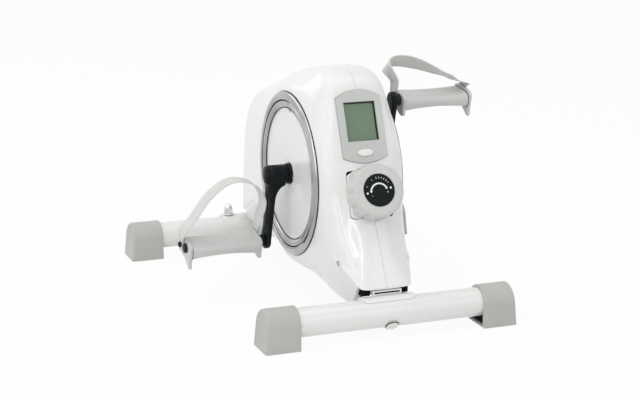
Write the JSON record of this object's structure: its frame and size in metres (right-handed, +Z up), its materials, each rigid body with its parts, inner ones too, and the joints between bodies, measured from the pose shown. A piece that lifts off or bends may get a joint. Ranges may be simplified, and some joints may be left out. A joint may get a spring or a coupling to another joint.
{
  "type": "mini exercise bike",
  "caption": "Under-desk pedal exerciser: two stabiliser tubes, a shell over a belt-driven flywheel, strapped pedals on cranks, a tension knob and a small display.",
  "frame": {"origin": "on the floor, under the middle of the bike, halfway between the two stabiliser tubes", "axes": "+Z up, +Y from the console and front foot towards the rear foot, +X to the right as the person who pedals sees it"},
  "size_m": [0.4438, 0.5044, 0.3251],
  "materials": {
    "white_shell": "gloss",
    "white_steel": "gloss paint",
    "grey_cap": "satin",
    "zinc_steel": "zinc plated",
    "plated_ring": "chrome plated",
    "black_steel": "gloss paint",
    "black_plastic": "gloss",
    "pedal_grey": "satin",
    "strap_clear_grey": "soft clear grey",
    "bezel_grey": "satin",
    "knob_grey": "satin",
    "window_clear": "clear",
    "display_green": "matte",
    "board_green": "satin",
    "belt_rubber": "matte",
    "cable_black": "satin",
    "cast_wheel": "machined",
    "magnet_dark": "nickel plated"
  },
  "bodies": {
    "base": {"left_housing_shell": "white_shell", "right_housing_shell": "white_shell", "left_disc_cover": "white_shell", "right_disc_cover": "white_shell", "tension_base": "white_shell", "front_stabiliser_tube": "white_steel", "rear_stabiliser_tube": "white_steel", "front_saddle": "white_steel", "rear_saddle": "white_steel", "main_frame": "white_steel", "front_left_foot_cap": "grey_cap", "front_right_foot_cap": "grey_cap", "rear_left_foot_cap": "grey_cap", "rear_right_foot_cap": "grey_cap", "front_bolt": "zinc_steel", "rear_left_bolt": "zinc_steel", "rear_right_bolt": "zinc_steel", "front_bolt_nut": "zinc_steel", "rear_left_bolt_nut": "zinc_steel", "rear_right_bolt_nut": "zinc_steel", "front_housing_screw": "zinc_steel", "rear_housing_screw": "zinc_steel", "bracket_pin": "zinc_steel", "crank_bearing": "zinc_steel", "left_flywheel_bearing": "zinc_steel", "right_flywheel_bearing": "zinc_steel", "left_trim_ring": "plated_ring", "right_trim_ring": "plated_ring", "console_back_cover": "black_plastic", "console_bezel": "bezel_grey", "lcd_window": "window_clear", "lcd_panel": "display_green", "console_circuit_board": "board_green", "drive_belt": "belt_rubber", "tension_cable": "cable_black"},
    "crank": {"crank_axle": "zinc_steel", "drive_pulley": "black_plastic", "left_crank": "black_steel", "right_crank": "black_steel", "left_crank_cap": "black_plastic", "right_crank_cap": "black_plastic", "left_pedal_spindle": "black_steel", "right_pedal_spindle": "black_steel"},
    "flywheel": {"flywheel": "cast_wheel", "flywheel_axle": "zinc_steel"},
    "magnet_bracket": {"magnet_bracket": "zinc_steel", "brake_magnet": "magnet_dark"},
    "knob": {"tension_knob": "knob_grey", "knob_label": "black_plastic", "tension_spindle": "zinc_steel"},
    "console_button": {"console_button": "white_shell"},
    "left_pedal": {"left_pedal": "pedal_grey", "left_strap": "strap_clear_grey", "left_strap_outer_stud": "black_plastic", "left_strap_inner_stud": "black_plastic"},
    "right_pedal": {"right_pedal": "pedal_grey", "right_strap": "strap_clear_grey", "right_strap_outer_stud": "black_plastic", "right_strap_inner_stud": "black_plastic"}
  },
  "joints": [
    {"name": "crank_spin", "type": "hinge", "parent": "base", "child": "crank", "pos_m": [0, -0.021, 0.172], "axis": [1, 0, 0], "continuous": true},
    {"name": "flywheel_spin", "type": "hinge", "parent": "base", "child": "flywheel", "pos_m": [0, 0.116, 0.15], "axis": [1, 0, 0], "continuous": true},
    {"name": "left_pedal_spin", "type": "hinge", "parent": "crank", "child": "left_pedal", "pos_m": [0, -0.01532, 0.07917], "axis": [1, 0, 0], "continuous": true},
    {"name": "right_pedal_spin", "type": "hinge", "parent": "crank", "child": "right_pedal", "pos_m": [0, -0.02668, 0.26483], "axis": [1, 0, 0], "continuous": true},
    {"name": "knob_turn", "type": "hinge", "parent": "base", "child": "knob", "pos_m": [0, -0.168, 0.173], "axis": [0, -0.9287, 0.3709], "range_deg": [0, 300]},
    {"name": "brake_swing", "type": "hinge", "parent": "base", "child": "magnet_bracket", "pos_m": [0, 0.039, 0.196], "axis": [1, 0, 0], "range_deg": [0, 8]},
    {"name": "button_press", "type": "slide", "parent": "base", "child": "console_button", "axis": [0, 0.9287, -0.3709], "range_m": [0, 0.0008], "stiffness_N_per_m": 400, "springref_m": -0.0005}
  ],
  "couplings": [
    {"joint": "flywheel_spin", "follows": "crank_spin", "ratio": 4.1667},
    {"joint": "brake_swing", "follows": "knob_turn", "ratio": 0.026667}
  ]
}
